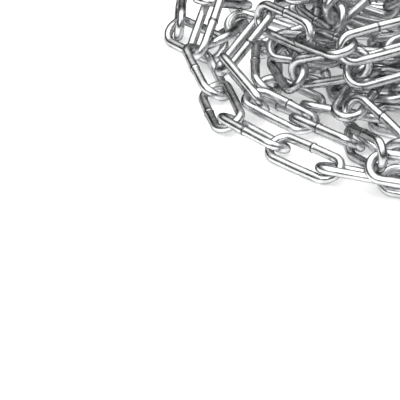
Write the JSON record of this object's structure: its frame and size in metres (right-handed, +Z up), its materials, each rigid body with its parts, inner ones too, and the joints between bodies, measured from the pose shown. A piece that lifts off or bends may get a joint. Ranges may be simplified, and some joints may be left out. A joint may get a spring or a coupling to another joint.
{
  "type": "heap of steel chain",
  "caption": "Loose heap of one length of welded long-link chain in bright zinc-plated round wire, lying in overlapping courses with a free end link at its edge.",
  "frame": {"origin": "on the floor, under the middle of the heap's bounding box", "axes": "+X to the right and +Y to the back as the picture looks at the heap, +Z up"},
  "size_m": [0.1583, 0.1894, 0.0727],
  "materials": {
    "zinc_plated_steel": "bright zinc plate over drawn low-carbon steel wire, smooth and fairly glossy"
  },
  "bodies": {
    "root": {"link_01": "zinc_plated_steel", "link_02": "zinc_plated_steel", "link_03": "zinc_plated_steel", "link_04": "zinc_plated_steel", "link_05": "zinc_plated_steel", "link_06": "zinc_plated_steel", "link_07": "zinc_plated_steel", "link_15": "zinc_plated_steel", "link_18": "zinc_plated_steel", "link_19": "zinc_plated_steel", "link_20": "zinc_plated_steel", "link_21": "zinc_plated_steel", "link_22": "zinc_plated_steel", "link_23": "zinc_plated_steel", "link_24": "zinc_plated_steel", "link_25": "zinc_plated_steel", "link_26": "zinc_plated_steel", "link_29": "zinc_plated_steel", "link_30": "zinc_plated_steel", "link_31": "zinc_plated_steel", "link_32": "zinc_plated_steel", "link_33": "zinc_plated_steel", "link_34": "zinc_plated_steel", "link_35": "zinc_plated_steel", "link_39": "zinc_plated_steel", "link_40": "zinc_plated_steel", "link_41": "zinc_plated_steel", "link_46": "zinc_plated_steel", "link_47": "zinc_plated_steel", "link_48": "zinc_plated_steel", "link_49": "zinc_plated_steel", "link_54": "zinc_plated_steel", "link_55": "zinc_plated_steel", "link_56": "zinc_plated_steel", "link_57": "zinc_plated_steel", "link_58": "zinc_plated_steel", "link_63": "zinc_plated_steel", "link_64": "zinc_plated_steel", "link_65": "zinc_plated_steel", "link_66": "zinc_plated_steel", "link_67": "zinc_plated_steel", "link_68": "zinc_plated_steel", "link_69": "zinc_plated_steel", "link_70": "zinc_plated_steel", "link_71": "zinc_plated_steel", "link_86": "zinc_plated_steel", "link_87": "zinc_plated_steel", "link_94": "zinc_plated_steel", "links_08_to_14": "zinc_plated_steel", "links_16_to_17": "zinc_plated_steel", "links_27_to_28": "zinc_plated_steel", "links_36_to_38": "zinc_plated_steel", "links_42_to_45": "zinc_plated_steel", "links_50_to_53": "zinc_plated_steel", "links_59_to_62": "zinc_plated_steel", "links_72_to_78": "zinc_plated_steel", "links_79_to_85": "zinc_plated_steel", "links_88_to_93": "zinc_plated_steel"}
  },
  "joints": []
}
